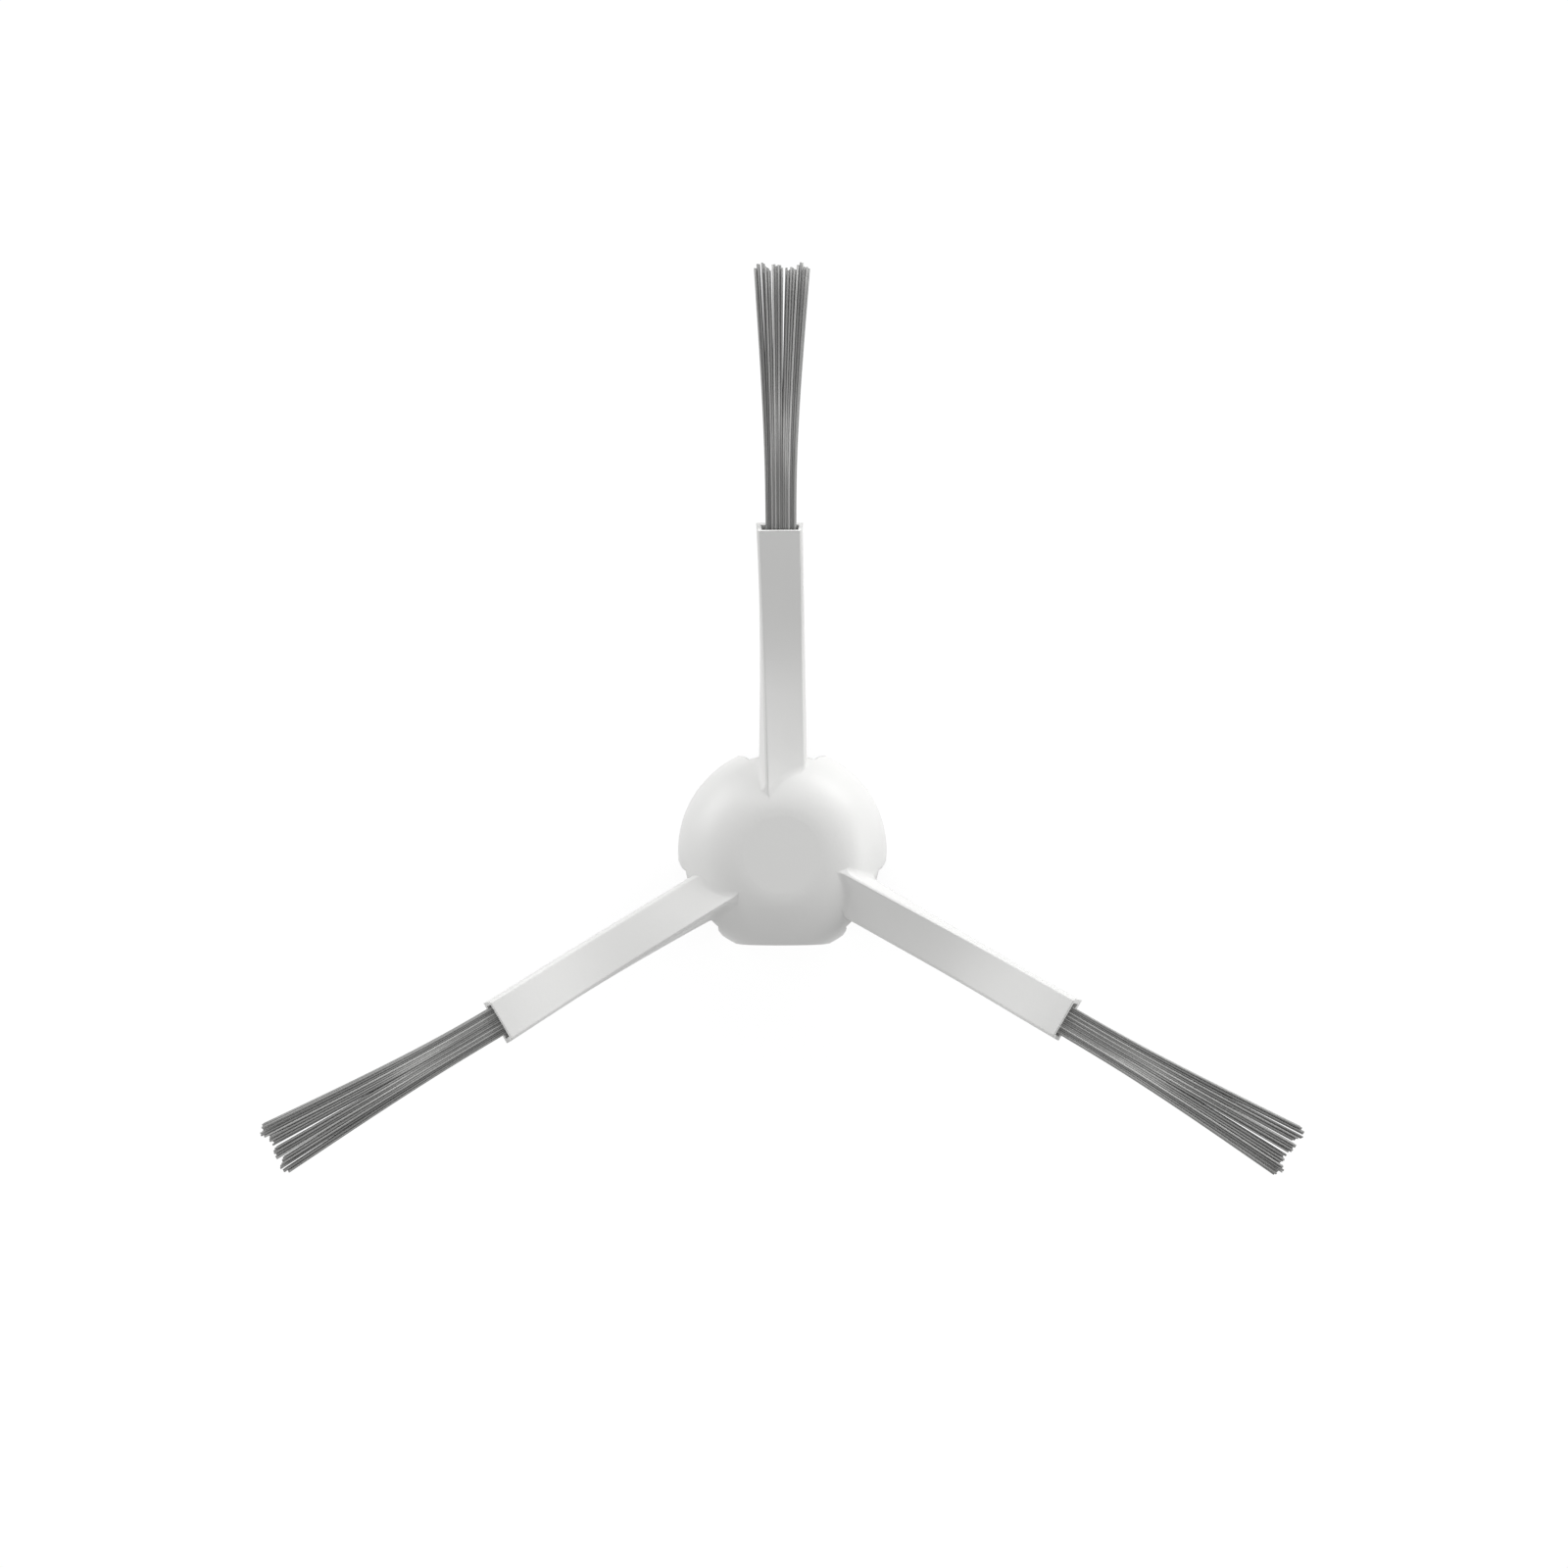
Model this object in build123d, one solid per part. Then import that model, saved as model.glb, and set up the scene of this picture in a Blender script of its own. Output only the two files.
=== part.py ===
from build123d import *
from math import atan, cos, pi, radians, sin, tan
import os

# Clip-on side brush of a robot vacuum: one white moulding with a domed hub and three twisted
# arms, and three tufts of grey nylon bristles seated in pockets at the arms' ends.
# Millimetres. The origin is on the hub's axis, in the plane of its rim. +Z points away from
# the robot, to the floor side. The first arm lies along +Y.

# Hub: a shell with a flat centre, a round shoulder and a drafted skirt
RIM_RADIUS = 15.1
FLAT_RADIUS = 5.45
HUB_HEIGHT = 10.2
SKIRT_DRAFT = 10.0
HUB_WALL = 1.8

# The skirt's lobe opposite the first arm is cut flat, with a lean of its own
FLAT_LOBE_REACH = 13.5
FLAT_LOBE_LEAN = 3.0

# Windows in the skirt below the arms, through which the mould forms the arms' undersides
WINDOW_FOOT_WIDTH = 12.7
WINDOW_TOP_WIDTH = 9.3
WINDOW_HEIGHT = 4.6

# Drive socket in the middle of the underside: a round bore with two key slots in a ribbed boss
SOCKET_RADIUS = 3.0
SOCKET_DEPTH = 8.0
KEY_REACH = 3.9
KEY_WIDTH = 1.2
BOSS_WALL = 1.4
RIB_THICKNESS = 1.2
RIB_RECESS = 2.0

# Arms: a drafted bar with eased top edges. It starts inside the dome with its top face twisted,
# runs out almost level, then bends up to its end, whose face leans back. Reaches are measured
# from the hub's axis.
ARM_COUNT = 3
FIRST_ARM_ANGLE = 90.0
ARM_START_REACH = 4.0
ARM_ROOT_REACH = 8.0
ARM_FLAT_REACH = 38.0
ARM_END_REACH = 45.2
ARM_BEND_REACH = 22.8
ARM_BEND_LENGTH = 32.0
ARM_ROOT_DEPTH = 3.5
ARM_END_HEIGHT = 17.5
ARM_ROOT_SLOPE = 5.0
ARM_ROOT_TWIST = 31.0
ARM_TWIST_EASE = 1.3
ARM_HIGH_SIDE_SHARE = 0.45
ARM_ROOT_SHIFT = -0.7
ARM_END_SHIFT = 0.12
ARM_ROOT_WIDTH = 5.75
ARM_END_WIDTH = 6.25
ARM_THICKNESS = 3.0
ARM_SIDE_DRAFT = 3.0
ARM_EDGE_CHAMFER = 0.3
ARM_END_LEAN = 6.0
ARM_SECTIONS = 9
ROOT_FILLET = 1.2

# Pocket in an arm's end, which holds a tuft
POCKET_DEPTH = 5.0
POCKET_SIDE_WALL = 0.6
POCKET_FLOOR_WALL = 0.6

# Bristle tuft: a fused root block and filaments that run level from the mouth, then fan out
ROOT_BLOCK_LENGTH = 3.5
ROOT_BLOCK_CLEARANCE = 0.1
TUFT_BEND_REACH = 57.0
TUFT_BEND_HEIGHT = 17.3
TUFT_TIP_REACH = 80.0
TUFT_TIP_HEIGHT = 18.4
TUFT_ROOT_WIDTH = 4.3
TUFT_TIP_WIDTH = 7.6
TUFT_ROOT_THICKNESS = 1.2
TUFT_TIP_THICKNESS = 1.5
TUFT_PARTING = 0.5
TIP_SCATTER = 0.5
FILAMENT_DIAMETER = 0.3
FILAMENT_COLUMNS = 11
FILAMENT_LAYERS = 3
FILAMENT_SIDES = 5
FILAMENT_EMBED = 0.5

ARM_NAMES = ["top", "left", "right"]


def around_hub(shape, index):
    """Turn a shape that is built along +X to the place of one of the arms."""
    return Rot(0, 0, FIRST_ARM_ANGLE + 360 / ARM_COUNT * index) * shape


def shoulder_radius():
    """Radius that leaves the flat level and meets the drafted skirt, which ends at the rim."""
    draft = radians(SKIRT_DRAFT)
    width = RIM_RADIUS - FLAT_RADIUS - HUB_HEIGHT * tan(draft)
    return width / (cos(draft) - (1 - sin(draft)) * tan(draft))


def shoulder_arc(inset):
    """Round shoulder of the hub's section, from the skirt up to the flat, moved in by inset."""
    radius = shoulder_radius()
    return CenterArc((FLAT_RADIUS, HUB_HEIGHT - radius), radius - inset, SKIRT_DRAFT, 90 - SKIRT_DRAFT)


def dome(shoulder):
    """Solid dome with a flat centre, made from the shoulder line of its section."""
    skirt_top = shoulder @ 0
    flat_edge = shoulder @ 1
    foot = skirt_top.X + skirt_top.Y * tan(radians(SKIRT_DRAFT))
    inside = Polyline(flat_edge, (0, flat_edge.Y), (0, 0), (foot, 0), skirt_top)
    return revolve(Plane.XZ * make_face(inside + shoulder), Axis.Z)


def hub_blank():
    """Dome with the flattened lobe, still solid inside."""
    lean = radians(FLAT_LOBE_LEAN)
    lobe = Plane((0, -FLAT_LOBE_REACH, 0), x_dir=(1, 0, 0), z_dir=(0, -cos(lean), sin(lean)))
    return split(dome(shoulder_arc(0)), bisect_by=lobe, keep=Keep.BOTTOM)


def arm_bend(reach):
    """Smooth share of the arm's bend that lies inside a reach."""
    share = max(reach - ARM_BEND_REACH, 0) / ARM_BEND_LENGTH
    return share - sin(2 * pi * share) / (2 * pi)


def arm_height(reach):
    """Height of the arm's middle line: a straight run, and a bend that lifts it to its end."""
    root_height = HUB_HEIGHT - ARM_ROOT_DEPTH
    root_slope = tan(radians(ARM_ROOT_SLOPE))
    end_height = ARM_END_HEIGHT - ARM_THICKNESS / 2
    lift = end_height - root_height - root_slope * (ARM_END_REACH - ARM_ROOT_REACH)
    bend = arm_bend(reach) / arm_bend(ARM_END_REACH)
    return root_height + root_slope * (reach - ARM_ROOT_REACH) + lift * bend


def arm_slope(reach):
    """Slope of the arm's middle line, in radians."""
    step = 0.01
    return atan((arm_height(reach + step) - arm_height(reach - step)) / (2 * step))


def arm_twist(reach):
    """Twist of the arm's top face, in radians, which eases out towards its flat end."""
    share = (ARM_FLAT_REACH - reach) / (ARM_FLAT_REACH - ARM_ROOT_REACH)
    return radians(ARM_ROOT_TWIST) * max(share, 0) ** ARM_TWIST_EASE


def along_arm(reach, root_value, end_value):
    """Value that changes evenly from the arm's root to its end."""
    share = (reach - ARM_ROOT_REACH) / (ARM_END_REACH - ARM_ROOT_REACH)
    return root_value + (end_value - root_value) * share


def arm_plane(reach, lean=0):
    """Plane of the arm's section: x across it towards its high edge, y up through it."""
    slope = arm_slope(reach) + radians(lean)
    middle = (reach, along_arm(reach, ARM_ROOT_SHIFT, ARM_END_SHIFT), arm_height(reach))
    return Plane(middle, x_dir=(0, 1, 0), z_dir=(cos(slope), 0, sin(slope)))


def bar_section(reach, side_inset, face_inset, twist):
    """Drafted section of the arm, its sides and faces moved in, its top face and high side twisted."""
    half = ARM_THICKNESS / 2 - face_inset
    middle = along_arm(reach, ARM_ROOT_WIDTH, ARM_END_WIDTH) / 2 - side_inset
    draft = half * tan(radians(ARM_SIDE_DRAFT))
    top = middle - draft
    base = middle + draft
    rise = top * tan(twist)
    high_base = base + (2 * half + rise) * tan(ARM_HIGH_SIDE_SHARE * twist)
    return Polygon((top, half + rise), (-top, half - rise), (-base, -half), (high_base, -half), align=None)


def arm_blank():
    """Twisted arm along +X, its end cut square to it, with no pocket."""
    overrun = ARM_THICKNESS
    step = (ARM_END_REACH + overrun - ARM_START_REACH) / (ARM_SECTIONS - 1)
    sections = []
    for index in range(ARM_SECTIONS):
        reach = ARM_START_REACH + step * index
        outline = bar_section(reach, 0, 0, arm_twist(reach))
        top_corners = outline.vertices().sort_by(Axis.Y)[-2:]
        sections.append(arm_plane(reach) * chamfer(top_corners, ARM_EDGE_CHAMFER))
    return split(loft(sections), bisect_by=arm_plane(ARM_END_REACH, ARM_END_LEAN), keep=Keep.BOTTOM)


def join_arm(hub, arm):
    """Join an arm to the hub and ease the long corners above it and beside its high edge."""
    joined = hub + arm
    corners = new_edges(hub, arm, combined=joined).sort_by(Axis.Z)
    long_corners = corners[1:].filter_by(lambda edge: edge.length > ARM_THICKNESS)
    return fillet(long_corners, ROOT_FILLET)


def window():
    """Cutter for the skirt's window below an arm along +X."""
    foot = WINDOW_FOOT_WIDTH / 2
    top = WINDOW_TOP_WIDTH / 2
    inner_reach = FLAT_RADIUS + HUB_WALL
    outline = Polygon((foot, 0), (top, WINDOW_HEIGHT), (-top, WINDOW_HEIGHT), (-foot, 0), align=None)
    start = Plane((inner_reach, 0, 0), x_dir=(0, 1, 0), z_dir=(1, 0, 0))
    return extrude(start * outline, RIM_RADIUS + HUB_WALL - inner_reach)


def hub_hollow():
    """Hollow of the underside: an inner dome with a bevelled shoulder, less the boss and its ribs."""
    inner_arc = shoulder_arc(HUB_WALL)
    bevels = Polyline(inner_arc @ 0, inner_arc @ 0.5, inner_arc @ 1)
    boss = Cylinder(KEY_REACH + BOSS_WALL, 3 * HUB_HEIGHT)
    rib = Box(RIM_RADIUS, RIB_THICKNESS, HUB_HEIGHT, align=(Align.MIN, Align.CENTER, Align.MIN))
    between_arms = Rot(0, 0, 180 / ARM_COUNT) * Pos(0, 0, RIB_RECESS)
    ribs = [around_hub(between_arms * rib, index) for index in range(ARM_COUNT)]
    return dome(bevels) - boss - ribs


def drive_socket():
    """Blind round socket with a key slot on each side, its mouth in the plane of the rim."""
    outline = Circle(SOCKET_RADIUS) + Rectangle(2 * KEY_REACH, KEY_WIDTH)
    return extrude(outline, SOCKET_DEPTH)


def pocket_plane():
    """Plane of the pocket's floor. Its normal points out along the middle of the pocket."""
    return arm_plane(ARM_END_REACH - POCKET_DEPTH / 2).offset(-POCKET_DEPTH / 2)


def pocket():
    overrun = 2 * ARM_THICKNESS
    outline = bar_section(ARM_END_REACH, POCKET_SIDE_WALL, POCKET_FLOOR_WALL, 0)
    return extrude(pocket_plane() * outline, POCKET_DEPTH + overrun)


def brush_body():
    body = hub_blank()
    arm = arm_blank()
    for index in range(ARM_COUNT):
        body = join_arm(body, around_hub(arm, index))
    for index in range(ARM_COUNT):
        body -= around_hub(window(), index)
        body -= around_hub(pocket(), index)
    return body - hub_hollow() - drive_socket()


def filament(column, layer):
    """One bristle: out of the root block to the mouth, level to the bend, splayed to its tip."""
    across = column / (FILAMENT_COLUMNS - 1) - 0.5
    above = layer / (FILAMENT_LAYERS - 1) - 0.5
    parting = TUFT_PARTING / 2 if across > 0 else -TUFT_PARTING / 2
    scatter = TIP_SCATTER * sin(5 * column + 3 * layer)
    root_y = across * (TUFT_ROOT_WIDTH - FILAMENT_DIAMETER)
    root_z = above * (TUFT_ROOT_THICKNESS - FILAMENT_DIAMETER)
    tip_y = across * (TUFT_TIP_WIDTH - FILAMENT_DIAMETER - TUFT_PARTING) + parting
    tip_z = above * (TUFT_TIP_THICKNESS - FILAMENT_DIAMETER)
    floor = pocket_plane()
    start = floor.from_local_coords(Vector(root_y, root_z, ROOT_BLOCK_LENGTH - FILAMENT_EMBED))
    mouth = floor.from_local_coords(Vector(root_y, root_z, POCKET_DEPTH))
    bend = Vector(TUFT_BEND_REACH, ARM_END_SHIFT + root_y, TUFT_BEND_HEIGHT + root_z)
    tip = Vector(TUFT_TIP_REACH + scatter, ARM_END_SHIFT + tip_y, TUFT_TIP_HEIGHT + tip_z)
    section = Plane.YZ * RegularPolygon(FILAMENT_DIAMETER / 2, FILAMENT_SIDES)
    runs = [(start, mouth), (mouth, bend), (bend, tip)]
    return [Solid.extrude((Pos(*near) * section).face(), far - near) for near, far in runs]


def bristle_tuft():
    """Tuft for the arm along +X."""
    fit = ROOT_BLOCK_CLEARANCE
    outline = bar_section(ARM_END_REACH, POCKET_SIDE_WALL + fit, POCKET_FLOOR_WALL + fit, 0)
    block = extrude(pocket_plane() * outline, ROOT_BLOCK_LENGTH)
    runs = []
    for column in range(FILAMENT_COLUMNS):
        for layer in range(FILAMENT_LAYERS):
            runs += filament(column, layer)
    return block + runs


def main():
    os.makedirs("parts", exist_ok=True)
    export_step(brush_body(), "parts/brush_body.step")
    tuft = bristle_tuft()
    for index, name in enumerate(ARM_NAMES):
        export_step(around_hub(tuft, index), f"parts/bristle_tuft_{name}.step")


main()
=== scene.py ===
import math
import random

import bpy
from mathutils import Matrix, Vector


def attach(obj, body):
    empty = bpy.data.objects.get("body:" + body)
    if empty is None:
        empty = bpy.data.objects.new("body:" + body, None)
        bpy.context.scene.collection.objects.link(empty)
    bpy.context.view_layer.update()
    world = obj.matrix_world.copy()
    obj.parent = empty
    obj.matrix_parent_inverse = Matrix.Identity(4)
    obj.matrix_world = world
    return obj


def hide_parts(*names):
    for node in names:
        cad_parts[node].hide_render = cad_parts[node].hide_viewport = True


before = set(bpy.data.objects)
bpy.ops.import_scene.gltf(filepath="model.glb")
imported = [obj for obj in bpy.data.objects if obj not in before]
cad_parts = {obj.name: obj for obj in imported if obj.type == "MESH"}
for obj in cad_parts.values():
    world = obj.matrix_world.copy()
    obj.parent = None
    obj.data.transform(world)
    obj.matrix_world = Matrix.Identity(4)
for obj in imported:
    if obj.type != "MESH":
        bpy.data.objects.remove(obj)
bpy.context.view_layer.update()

# Looks of a robot vacuum side brush. The moulding is the CAD body in a satin white plastic.
# Each CAD tuft is replaced by a dense one: a fused root block in the arm's pocket and the bristles
# that grow out of it. A tuft is worked out for an arm along +X, as reach along the arm, place across
# it and height, and is then turned to its arm.
# Lengths are in millimetres and angles in degrees, unless a comment says otherwise.

MM = 0.001

# Camera, almost straight above the hub
LENS_MM = 50.0
SENSOR_MM = 36.0
CAMERA_PLACE = (2.655, 17.258, 314.963)
CAMERA_TURN = (-1.39, 0.43, -0.17)

# Arms
ARM_ANGLES = {"top": 90.0, "left": 210.0, "right": 330.0}

# Pocket in an arm's end: the middle of its floor, and how steeply it points up
POCKET_FLOOR_REACH = 40.437
POCKET_FLOOR_HEIGHT = 13.873
POCKET_SLOPE = 25.14
POCKET_SHIFT = 0.065

# Fused root block in the pocket
BLOCK_LENGTH = 3.5
BLOCK_TOP_HALF = 2.38
BLOCK_BASE_HALF = 2.465
BLOCK_HALF_HEIGHT = 0.8
BLOCK_CHAMFER = 0.2
BLOCK_SHADE = 0.5

# Bristles: every second layer sits half a column further across
SEED = 7
COLUMNS = 16
LAYERS = 6
STAGGERS = (0.25, 0.75)
BRISTLE_DIAMETER = 0.27
BRISTLE_SIDES = 10
BRISTLE_RINGS = 22
BRISTLE_EMBED = 0.5

# Size of the tuft at its root and at its tips, and how far each is shifted to the side
ROOT_WIDTH = 4.35
ROOT_THICKNESS = 1.6
ROOT_SHIFT = -0.08
TIP_WIDTH = 7.8
TIP_THICKNESS = 1.6
TIP_SHIFT = -0.3

# Course of a bristle: straight out of the block, level, and then fanned out to its tip
LEAD_LENGTH = 2
LEVEL_REACH = 54.0
LEVEL_HEIGHT = 17.5
FAN_REACH = 57.5
FAN_HEIGHT = 17.4
TIP_REACH = 80.0
TIP_HEIGHT = 18.4

# Unevenness: each column is cut to its own length, and each bristle strays a little from its place
TIP_SCATTER = 0.55
CUT_JITTER = 0.12
CUT_SLANT = 0.05
COLUMN_JITTER = 0.03
LAYER_JITTER = 0.05
TIP_JITTER = 0.05

# Partings that open between the bristles towards the tips: share of the way across the tuft, width
PARTINGS = [(0.28, 0.10), (0.47, 0.42), (0.70, 0.17), (0.88, 0.20)]

# Shades: few bristles are light all along, and some have a highlight painted as a pale band where they
# bend
LIGHT_RARITY = 4.0
HIGHLIGHT_RARITY = 1.6
HIGHLIGHT_REACH = 57.5
HIGHLIGHT_SPREAD = 2.6
HIGHLIGHT_LENGTH = 4.0

# Plastic: scales are per metre, and the grain's depth and the softened edges' radius in metres
PLASTIC_DARK = (0.785, 0.785, 0.775)
PLASTIC_LIGHT = (0.815, 0.815, 0.805)
PLASTIC_GLOSSIEST = 0.36
PLASTIC_DULLEST = 0.50
CLOUD_SCALE = 70
SHEEN_SCALE = 180
GRAIN_SCALE = 2600
GRAIN_DEPTH = 0.00004
GRAIN_STRENGTH = 0.15
EDGE_RADIUS = 0.0003

# Nylon: the scale is per metre, and the depth in metres
NYLON_DARK = (0.23, 0.23, 0.227)
NYLON_LIGHT = (0.56, 0.56, 0.55)
NYLON_GLOSSIEST = 0.34
NYLON_DULLEST = 0.46
NYLON_SCALE = 4000
NYLON_DEPTH = 0.00001
NYLON_STRENGTH = 0.06

# Floor: half its width in metres, the grey that lights the object, and the glow and grey that are seen
FLOOR_HALF = 3.0
FLOOR_BOUNCE = 0.35
FLOOR_GLOW = 0.92
FLOOR_FAINT = 0.14

# Strength of the surroundings, as light on the object and as seen
AMBIENT = 0.49
WHITE = 1.0

# Lamps: distance from the hub and width in metres
LAMP_DISTANCE = 0.6
LAMP_WIDTH = 0.36
# name, azimuth, tilt from straight up, power in watts
LAMPS = [
    ("right", 0.0, 84.0, 1.4),
    ("key", 50.0, 82.0, 1.8),
    ("back", 90.0, 84.0, 1.7),
    ("left", 150.0, 84.0, 1.55),
    ("left_fill", 210.0, 84.0, 0.7),
]


def bezier(points, share):
    """Point at a share of the way along a Bezier curve of any order."""
    while len(points) > 1:
        points = [near.lerp(far, share) for near, far in zip(points, points[1:])]
    return points[0]


def pocket_point(across, up, out):
    """Point given across, up and out from the middle of the pocket's floor."""
    slope = math.radians(POCKET_SLOPE)
    reach = POCKET_FLOOR_REACH + out * math.cos(slope) - up * math.sin(slope)
    height = POCKET_FLOOR_HEIGHT + out * math.sin(slope) + up * math.cos(slope)
    return Vector((reach, across + POCKET_SHIFT, height))


def tip_across(share):
    """Place of a bristle's tip across the tuft, with the partings opened."""
    spare = TIP_WIDTH - BRISTLE_DIAMETER - sum(width for place, width in PARTINGS)
    across = spare * share + sum(width for place, width in PARTINGS if share > place)
    return across - (TIP_WIDTH - BRISTLE_DIAMETER) / 2


def bristle_line(column, layer, cut, draw):
    """Middle line of one bristle, from inside the root block to its tip, which a cut lengthens."""
    share = (column + STAGGERS[layer % 2] + draw.uniform(-COLUMN_JITTER, COLUMN_JITTER)) / COLUMNS
    above = layer / (LAYERS - 1) - 0.5 + draw.uniform(-LAYER_JITTER, LAYER_JITTER)
    root_across = (share - 0.5) * (ROOT_WIDTH - BRISTLE_DIAMETER)
    root_up = above * (ROOT_THICKNESS - BRISTLE_DIAMETER)
    tip_side = tip_across(share) + draw.uniform(-TIP_JITTER, TIP_JITTER)
    tip_up = above * (TIP_THICKNESS - BRISTLE_DIAMETER)
    tip_out = TIP_REACH + cut + draw.uniform(-CUT_JITTER, CUT_JITTER)
    pocket_across = root_across + ROOT_SHIFT - POCKET_SHIFT
    start = pocket_point(pocket_across, root_up, BLOCK_LENGTH - BRISTLE_EMBED)
    mouth = pocket_point(pocket_across, root_up, BLOCK_LENGTH + LEAD_LENGTH)
    level = Vector((LEVEL_REACH, root_across + ROOT_SHIFT, LEVEL_HEIGHT + root_up))
    fan = Vector((FAN_REACH, root_across + ROOT_SHIFT, FAN_HEIGHT + root_up))
    tip = Vector((tip_out, tip_side + TIP_SHIFT, TIP_HEIGHT + tip_up))
    controls = [start, mouth, level, fan, tip]
    return [bezier(controls, ring / (BRISTLE_RINGS - 1)) for ring in range(BRISTLE_RINGS)]


def bristle_rings(line, draw):
    """Rings of points round a bristle's middle line. The last is cut at a slant."""
    slant = draw.uniform(-CUT_SLANT, CUT_SLANT)
    slant_turn = draw.uniform(0, 2 * math.pi)
    last = len(line) - 1
    rings = []
    for index, point in enumerate(line):
        along = (line[min(index + 1, last)] - line[max(index - 1, 0)]).normalized()
        up = along.cross(Vector((0, 1, 0))).normalized()
        side = up.cross(along)
        cut = slant if index == last else 0
        ring = []
        for corner in range(BRISTLE_SIDES):
            turn = 2 * math.pi * corner / BRISTLE_SIDES
            offset = (side * math.cos(turn) - up * math.sin(turn)) * BRISTLE_DIAMETER / 2
            ring.append(point + offset + along * cut * math.cos(turn - slant_turn))
        rings.append(ring)
    return rings


def shades_and_painted_highlights(line, draw):
    """Shade at each point of a bristle's line, from 0 to 1: its own, and a painted highlight where it
    bends.
    """
    own = draw.random() ** LIGHT_RARITY
    painted_highlight = draw.random() ** HIGHLIGHT_RARITY
    middle = draw.gauss(HIGHLIGHT_REACH, HIGHLIGHT_SPREAD)
    shades_and_highlights = []
    for point in line:
        away = (point.x - middle) / HIGHLIGHT_LENGTH
        # The highlight where the bristle bends is painted into its shade as a pale band.
        shades_and_highlights.append(min(own + painted_highlight * math.exp(-away ** 2), 1))
    return shades_and_highlights


def block_rings():
    """Rings of points round the root block, its edges and corners chamfered."""
    stations = [
        (0, BLOCK_CHAMFER),
        (BLOCK_CHAMFER, 0),
        (BLOCK_LENGTH - BLOCK_CHAMFER, 0),
        (BLOCK_LENGTH, BLOCK_CHAMFER),
    ]
    cut = BLOCK_CHAMFER
    rings = []
    for out, inset in stations:
        top = BLOCK_TOP_HALF - inset
        base = BLOCK_BASE_HALF - inset
        half = BLOCK_HALF_HEIGHT - inset
        corners = [(base - cut, -half), (base, cut - half), (top, half - cut), (top - cut, half)]
        mirrored = [(-across, up) for across, up in reversed(corners)]
        rings.append([pocket_point(across, up, out) for across, up in corners + mirrored])
    return rings


def add_loft(points, faces, rings):
    """Add a closed tube through rings of points, with a cap at each end."""
    first = len(points)
    sides = len(rings[0])
    for ring in rings:
        points.extend(ring)
    for index in range(len(rings) - 1):
        near = first + index * sides
        far = near + sides
        for corner in range(sides):
            following = (corner + 1) % sides
            faces.append((near + corner, near + following, far + following, far + corner))
    faces.append(tuple(range(first + sides - 1, first - 1, -1)))
    faces.append(tuple(range(len(points) - sides, len(points))))


def tuft_shape():
    """Points, faces and each point's shade, its painted highlight included, of a tuft along +X."""
    draw = random.Random(SEED)
    points = []
    faces = []
    add_loft(points, faces, block_rings())
    shades_and_highlights = [BLOCK_SHADE] * len(points)
    for column in range(COLUMNS):
        cut = draw.uniform(-TIP_SCATTER, TIP_SCATTER)
        for layer in range(LAYERS):
            line = bristle_line(column, layer, cut, draw)
            add_loft(points, faces, bristle_rings(line, draw))
            for value in shades_and_painted_highlights(line, draw):
                shades_and_highlights += [value] * BRISTLE_SIDES
    return points, faces, shades_and_highlights


def make_tuft(name, angle, shape, material):
    """Tuft turned to the arm at an angle. Its sides are shaded smooth and the bristles' ends flat."""
    points, faces, shades_and_highlights = shape
    turn = Matrix.Rotation(math.radians(angle), 3, "Z")
    mesh = bpy.data.meshes.new(name)
    mesh.from_pydata([turn @ point * MM for point in points], [], faces)
    mesh.polygons.foreach_set("use_smooth", [len(face) == 4 for face in faces])
    # Each point's shade, with the painted highlight, goes to the material.
    mesh.attributes.new("strand_shade_and_highlight", "FLOAT", "POINT").data.foreach_set("value", shades_and_highlights)
    mesh.materials.append(material)
    mesh.update()
    tuft = bpy.data.objects.new(name, mesh)
    bpy.context.scene.collection.objects.link(tuft)
    return tuft


def new_material(name):
    """Material with an empty node tree. Gives the material, its tree and the output's surface socket."""
    material = bpy.data.materials.new(name)
    material.use_nodes = True
    tree = material.node_tree
    tree.nodes.clear()
    return material, tree, tree.nodes.new("ShaderNodeOutputMaterial").inputs["Surface"]


def noise(tree, place, scale, detail):
    """Noise texture in object space. Gives its value's socket."""
    node = tree.nodes.new("ShaderNodeTexNoise")
    node.inputs["Scale"].default_value = scale
    node.inputs["Detail"].default_value = detail
    tree.links.new(place, node.inputs["Vector"])
    return node.outputs["Fac"]


def spread(tree, value, low, high):
    """Map a value between 0 and 1 to a range. Gives the result's socket."""
    node = tree.nodes.new("ShaderNodeMapRange")
    node.inputs["To Min"].default_value = low
    node.inputs["To Max"].default_value = high
    tree.links.new(value, node.inputs["Value"])
    return node.outputs["Result"]


def shade(tree, value, dark, light):
    """Mix two colours by a value. Gives the colour's socket."""
    node = tree.nodes.new("ShaderNodeMix")
    node.data_type = "RGBA"
    node.inputs["A"].default_value = (*dark, 1)
    node.inputs["B"].default_value = (*light, 1)
    tree.links.new(value, node.inputs["Factor"])
    return node.outputs["Result"]


def rounded(tree, radius):
    """Normal that softens the edges over a radius in metres. Gives the normal's socket."""
    node = tree.nodes.new("ShaderNodeBevel")
    node.inputs["Radius"].default_value = radius
    return node.outputs["Normal"]


def bump(tree, value, distance, strength, normal=None):
    """Normal bumped by a value, on top of another normal where one is given. Gives its socket."""
    node = tree.nodes.new("ShaderNodeBump")
    if normal:
        tree.links.new(normal, node.inputs["Normal"])
    node.inputs["Distance"].default_value = distance
    node.inputs["Strength"].default_value = strength
    tree.links.new(value, node.inputs["Height"])
    return node.outputs["Normal"]


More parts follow.
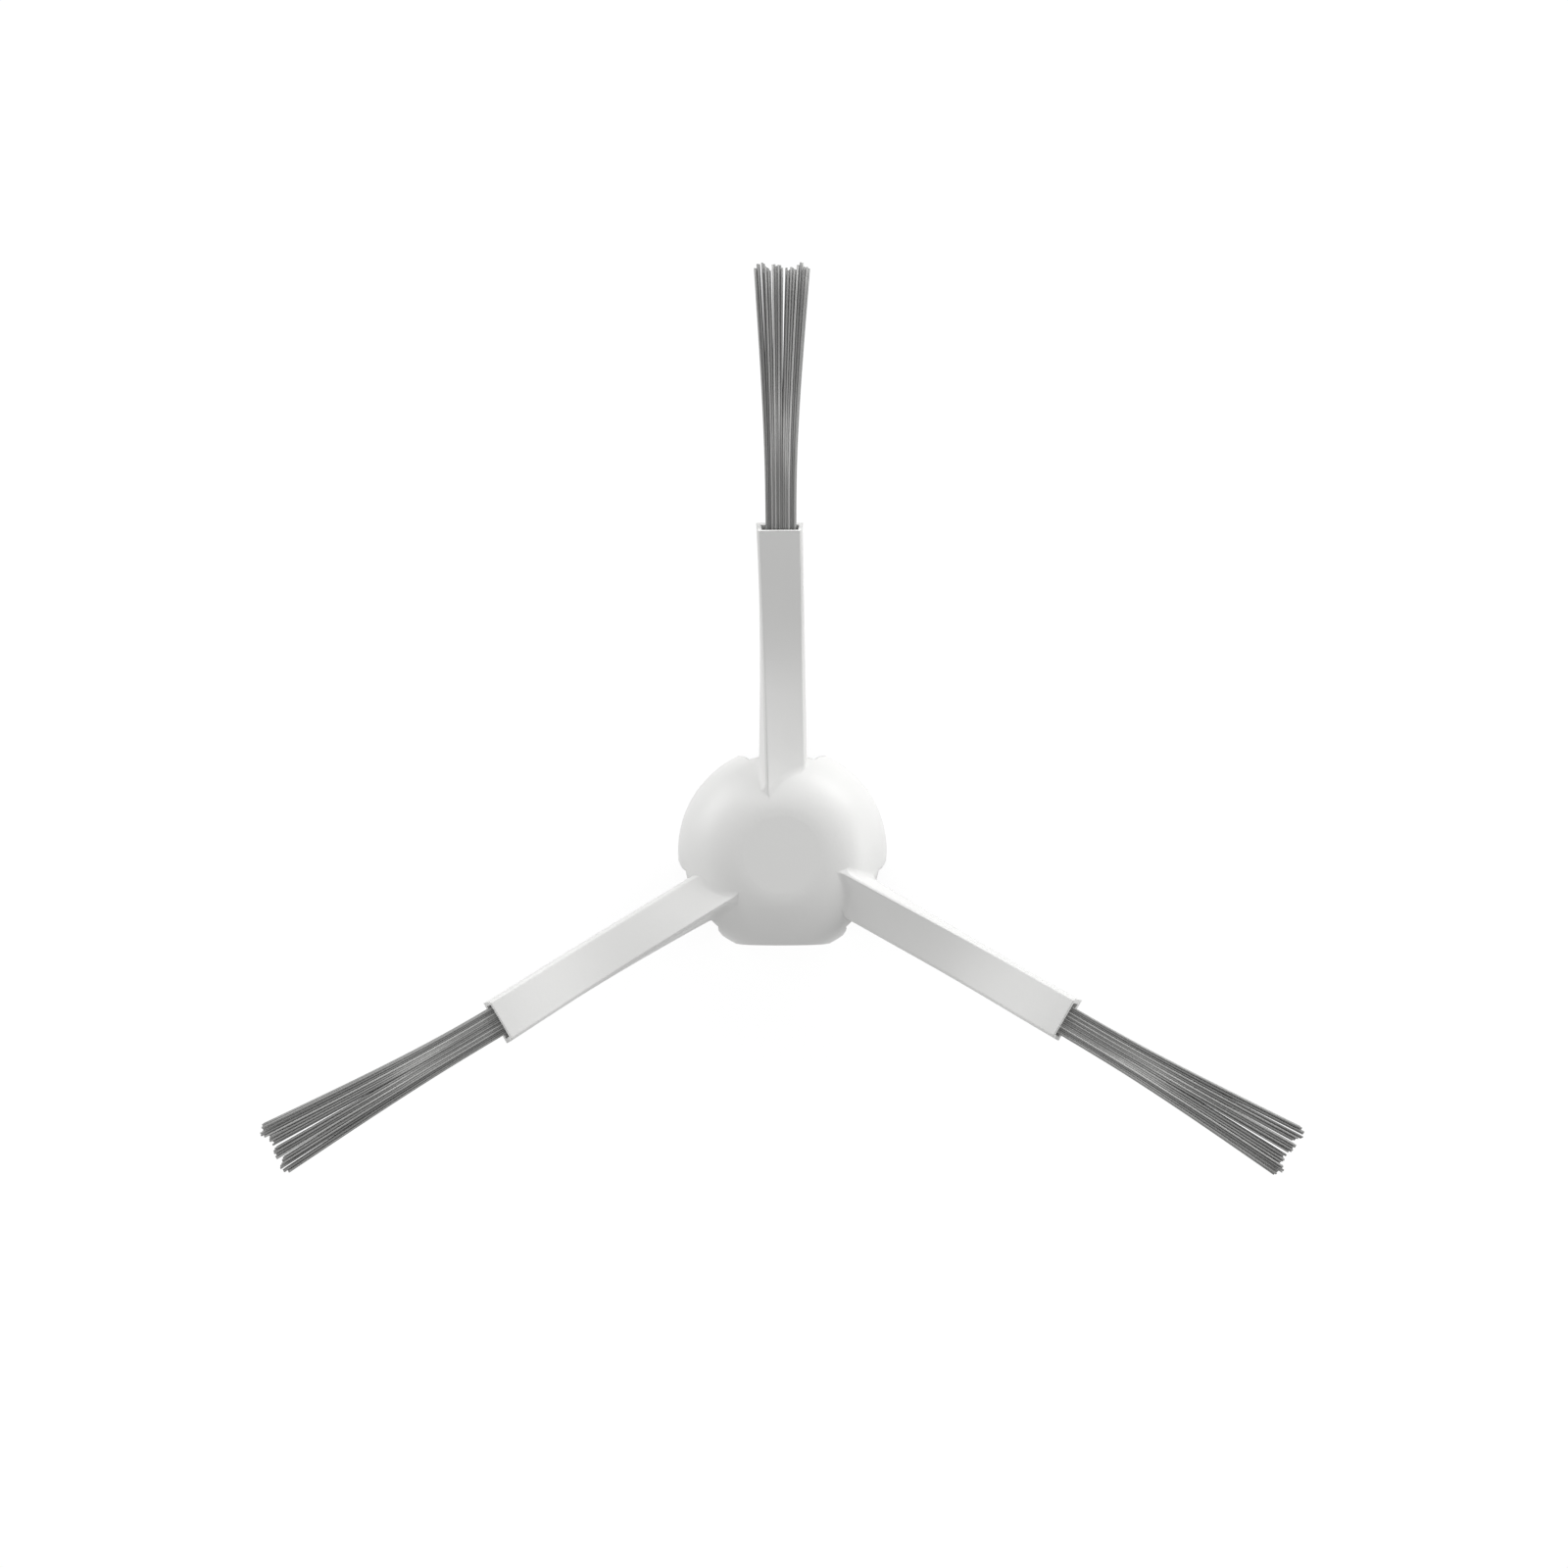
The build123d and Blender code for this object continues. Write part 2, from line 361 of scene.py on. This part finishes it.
def glossy_surface(tree, colour, roughness, normal):
    """Plastic shader with a colour, a roughness and a normal. Gives the shader's socket."""
    node = tree.nodes.new("ShaderNodeBsdfPrincipled")
    tree.links.new(colour, node.inputs["Base Color"])
    tree.links.new(roughness, node.inputs["Roughness"])
    tree.links.new(normal, node.inputs["Normal"])
    return node.outputs["BSDF"]


def plastic_material():
    """Satin white moulded plastic: faint clouding, uneven sheen and a fine spark-eroded grain."""
    material, tree, output = new_material("satin_white_plastic")
    place = tree.nodes.new("ShaderNodeTexCoord").outputs["Object"]
    cloud = noise(tree, place, CLOUD_SCALE, detail=3)
    sheen = noise(tree, place, SHEEN_SCALE, detail=4)
    grain = noise(tree, place, GRAIN_SCALE, detail=2)
    colour = shade(tree, cloud, PLASTIC_DARK, PLASTIC_LIGHT)
    roughness = spread(tree, sheen, PLASTIC_GLOSSIEST, PLASTIC_DULLEST)
    normal = bump(tree, grain, GRAIN_DEPTH, GRAIN_STRENGTH, rounded(tree, EDGE_RADIUS))
    tree.links.new(glossy_surface(tree, colour, roughness, normal), output)
    return material


def nylon_material():
    """Drawn grey nylon: every bristle has its own shade and gloss, and a highlight painted into its
    colour where it bends.
    """
    material, tree, output = new_material("grey_nylon_bristle")
    place = tree.nodes.new("ShaderNodeTexCoord").outputs["Object"]
    strand_shade_and_highlight = tree.nodes.new("ShaderNodeAttribute")
    strand_shade_and_highlight.attribute_name = "strand_shade_and_highlight"
    value = strand_shade_and_highlight.outputs["Fac"]
    # The colour carries each bristle's own shade and its painted highlight.
    colour = shade(tree, value, NYLON_DARK, NYLON_LIGHT)
    roughness = spread(tree, value, NYLON_GLOSSIEST, NYLON_DULLEST)
    ripple = noise(tree, place, NYLON_SCALE, detail=1)
    normal = bump(tree, ripple, NYLON_DEPTH, NYLON_STRENGTH)
    tree.links.new(glossy_surface(tree, colour, roughness, normal), output)
    return material


def seen_directly(tree):
    """1 for camera, glossy and transmission rays, and 0 for the light that the object receives."""
    rays = tree.nodes.new("ShaderNodeLightPath").outputs
    value = rays["Is Camera Ray"]
    for name in ("Is Glossy Ray", "Is Transmission Ray"):
        node = tree.nodes.new("ShaderNodeMath")
        node.operation = "MAXIMUM"
        tree.links.new(value, node.inputs[0])
        tree.links.new(rays[name], node.inputs[1])
        value = node.outputs["Value"]
    return value


def by_ray(tree, lighting, seen):
    """One shader for the light that the object receives, another where it is seen. Gives the socket."""
    mix = tree.nodes.new("ShaderNodeMixShader")
    tree.links.new(seen_directly(tree), mix.inputs["Fac"])
    tree.links.new(lighting, mix.inputs[1])
    tree.links.new(seen, mix.inputs[2])
    return mix.outputs["Shader"]


def matt(tree, grey):
    """Matt shader of one grey. Gives its socket."""
    node = tree.nodes.new("ShaderNodeBsdfDiffuse")
    node.inputs["Color"].default_value = (grey, grey, grey, 1)
    return node.outputs["BSDF"]


def floor_material():
    """Floor that looks white with a faint shadow, and lights the object as a plain grey one does."""
    material, tree, output = new_material("white_floor")
    glow = tree.nodes.new("ShaderNodeEmission")
    glow.inputs["Strength"].default_value = FLOOR_GLOW
    seen = tree.nodes.new("ShaderNodeAddShader")
    tree.links.new(glow.outputs["Emission"], seen.inputs[0])
    tree.links.new(matt(tree, FLOOR_FAINT), seen.inputs[1])
    tree.links.new(by_ray(tree, matt(tree, FLOOR_BOUNCE), seen.outputs["Shader"]), output)
    return material


def make_floor():
    """Floor in the plane of the hub's rim."""
    half = FLOOR_HALF
    corners = [(-half, -half, 0), (half, -half, 0), (half, half, 0), (-half, half, 0)]
    mesh = bpy.data.meshes.new("floor")
    mesh.from_pydata(corners, [], [(0, 1, 2, 3)])
    mesh.materials.append(floor_material())
    floor = bpy.data.objects.new("floor", mesh)
    bpy.context.scene.collection.objects.link(floor)


def background(tree, strength):
    """White background of a strength. Gives its socket."""
    node = tree.nodes.new("ShaderNodeBackground")
    node.inputs["Color"].default_value = (1, 1, 1, 1)
    node.inputs["Strength"].default_value = strength
    return node.outputs["Background"]


def make_world():
    """Surroundings that look white, directly and in reflections, and light the object softly."""
    world = bpy.data.worlds.new("studio")
    bpy.context.scene.world = world
    world.use_nodes = True
    tree = world.node_tree
    tree.nodes.clear()
    output = tree.nodes.new("ShaderNodeOutputWorld").inputs["Surface"]
    tree.links.new(by_ray(tree, background(tree, AMBIENT), background(tree, WHITE)), output)


def make_lamp(name, azimuth, tilt, power):
    """Soft round lamp that faces the hub."""
    lamp = bpy.data.lights.new(name, "AREA")
    lamp.shape = "DISK"
    lamp.size = LAMP_WIDTH
    lamp.energy = power
    place = Vector((0, 0, LAMP_DISTANCE))
    place.rotate(Matrix.Rotation(math.radians(tilt), 3, "Y"))
    place.rotate(Matrix.Rotation(math.radians(azimuth), 3, "Z"))
    stand = bpy.data.objects.new(name, lamp)
    stand.location = place
    stand.rotation_euler = place.to_track_quat("Z", "Y").to_euler()
    bpy.context.scene.collection.objects.link(stand)


def make_camera():
    """Camera at the photograph's viewing angle."""
    lens = bpy.data.cameras.new("camera")
    lens.lens = LENS_MM
    lens.sensor_width = SENSOR_MM
    camera = bpy.data.objects.new("camera", lens)
    camera.location = Vector(CAMERA_PLACE) * MM
    camera.rotation_euler = [math.radians(turn) for turn in CAMERA_TURN]
    bpy.context.scene.collection.objects.link(camera)
    bpy.context.scene.camera = camera


def main():
    """Set up the studio, give the moulding its plastic and put a tuft in each arm."""
    bpy.context.scene.view_settings.view_transform = "Standard"
    make_camera()
    make_world()
    make_floor()
    for lamp in LAMPS:
        make_lamp(*lamp)
    plastic = plastic_material()
    for body_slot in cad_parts["brush_body"].material_slots:
        body_slot.material = plastic
    nylon = nylon_material()
    shape = tuft_shape()
    for name, angle in ARM_ANGLES.items():
        tuft = make_tuft(f"bristles_{name}", angle, shape, nylon)
        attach(tuft, "root")
        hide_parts(f"bristle_tuft_{name}")


main()
bpy.context.view_layer.update()
